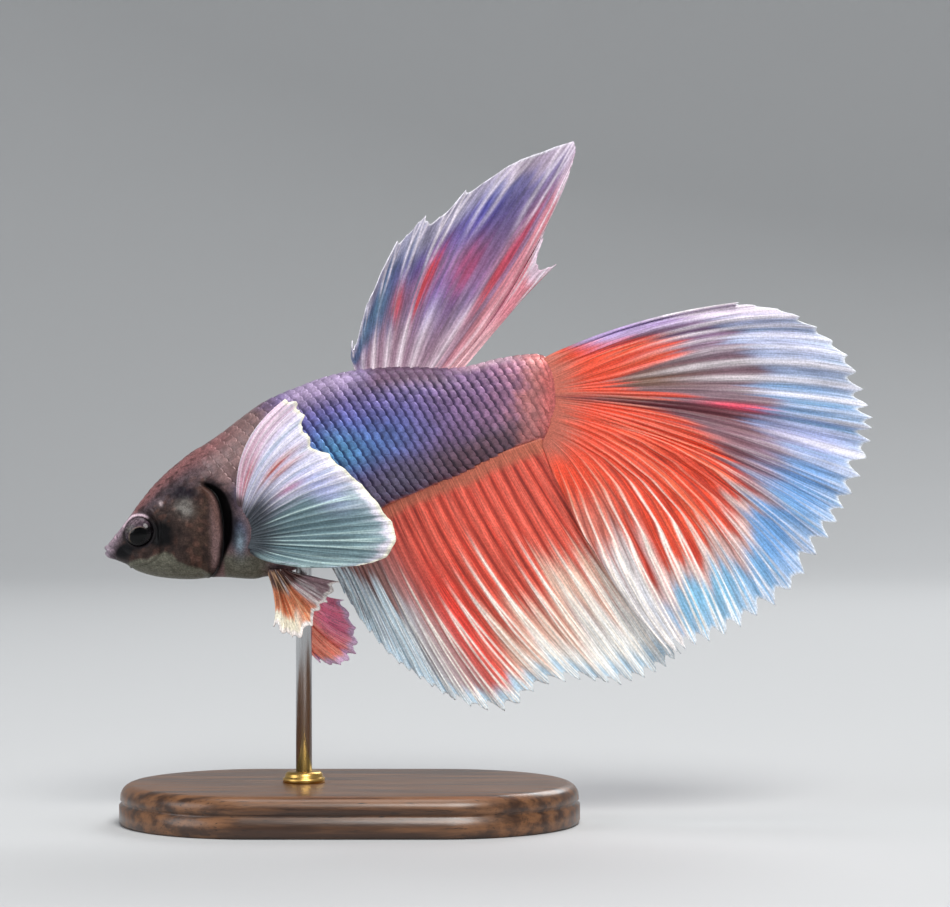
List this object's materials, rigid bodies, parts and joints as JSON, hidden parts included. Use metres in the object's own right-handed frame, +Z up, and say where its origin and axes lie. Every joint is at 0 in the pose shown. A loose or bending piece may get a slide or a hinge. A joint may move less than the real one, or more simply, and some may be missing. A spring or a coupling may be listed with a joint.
{
  "type": "betta fish display model",
  "caption": "Life-size still model of a male fighting fish with large spread fins, held above a small oval base by a rod.",
  "frame": {"origin": "centre of the underside of the stand's base", "axes": "+X from the fish's snout towards its tail, +Y from its left side to its right side, +Z up"},
  "size_m": [0.0769, 0.028, 0.0681],
  "materials": {
    "head_skin": "dark brown wet fish skin, satin",
    "scales": "blue-violet iridescent scales, satin",
    "dorsal_membrane": "violet and red rayed fin, satin",
    "anal_membrane": "red fin with a pale rim, satin",
    "tail_membrane": "red fin with a pale blue rim, satin",
    "pectoral_membrane": "white and grey-blue rayed fin, satin",
    "pelvic_membrane": "orange-red fin with white tips, satin",
    "eye": "dark eye with a clear glossy front",
    "base_wood": "dark stained wood, satin lacquer",
    "rod_steel": "brushed steel rod",
    "collar_brass": "turned brass collar, satin"
  },
  "bodies": {
    "root": {"head": "head_skin", "lower_jaw": "head_skin", "gill_cover_left": "head_skin", "gill_cover_right": "head_skin", "eye_left": "eye", "eye_right": "eye", "trunk": "scales", "tail_stalk": "scales", "dorsal_fin": "dorsal_membrane", "anal_fin": "anal_membrane", "tail_fin": "tail_membrane", "pectoral_fin_left": "pectoral_membrane", "pectoral_fin_right": "pectoral_membrane", "pelvic_fin_left": "pelvic_membrane", "pelvic_fin_right": "pelvic_membrane", "stand_base": "base_wood", "stand_rod": "rod_steel", "stand_collar": "collar_brass"}
  },
  "joints": []
}
